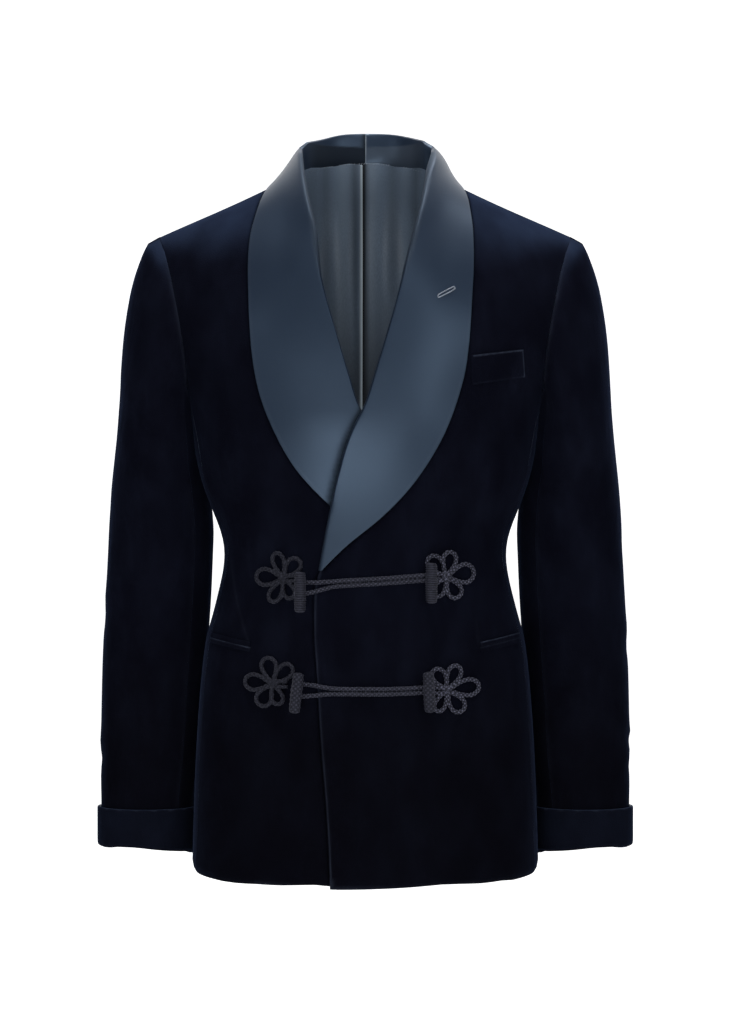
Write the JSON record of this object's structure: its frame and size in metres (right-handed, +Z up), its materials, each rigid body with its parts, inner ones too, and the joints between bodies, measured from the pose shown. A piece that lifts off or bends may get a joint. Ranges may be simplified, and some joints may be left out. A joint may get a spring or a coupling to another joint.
{
  "type": "tuxedo jacket",
  "caption": "Double-breasted velvet smoking jacket with a satin shawl collar, corded frog closures, welt and jetted pockets and turn-back cuffs, hollow as worn.",
  "frame": {"origin": "on the centre plane inside the neck, level with the point where the shoulder line leaves the collar: where the wearer's neck meets the shoulders", "axes": "+Z up along the wearer, +X to the wearer's left, -Y out of the front"},
  "size_m": [0.5616, 0.2569, 0.778],
  "materials": {
    "velvet": "midnight navy cotton velvet with a short upright nap",
    "satin": "blue-grey duchesse satin, soft gloss",
    "lining": "blue-grey twill lining, soft gloss",
    "cord": "near-black braided passementerie cord, low gloss"
  },
  "bodies": {
    "root": {"back_left": "velvet", "back_right": "velvet", "barrel_lower_left": "cord", "barrel_upper_left": "cord", "chest_welt": "velvet", "collar_left": "satin", "collar_right": "satin", "cuff_left": "velvet", "cuff_right": "velvet", "frog_cord_lower": "cord", "frog_cord_upper": "cord", "front_left": "velvet", "front_right": "velvet", "hip_jet_lower_left": "velvet", "hip_jet_lower_right": "velvet", "hip_jet_upper_left": "velvet", "hip_jet_upper_right": "velvet", "lining_back_left": "lining", "lining_back_right": "lining", "rosette_lower_left": "cord", "rosette_lower_right": "cord", "rosette_upper_left": "cord", "rosette_upper_right": "cord", "side_left": "velvet", "side_right": "velvet", "toggle_lower_right": "cord", "toggle_upper_right": "cord", "top_sleeve_left": "velvet", "top_sleeve_right": "velvet", "under_sleeve_left": "velvet", "under_sleeve_right": "velvet"}
  },
  "joints": []
}
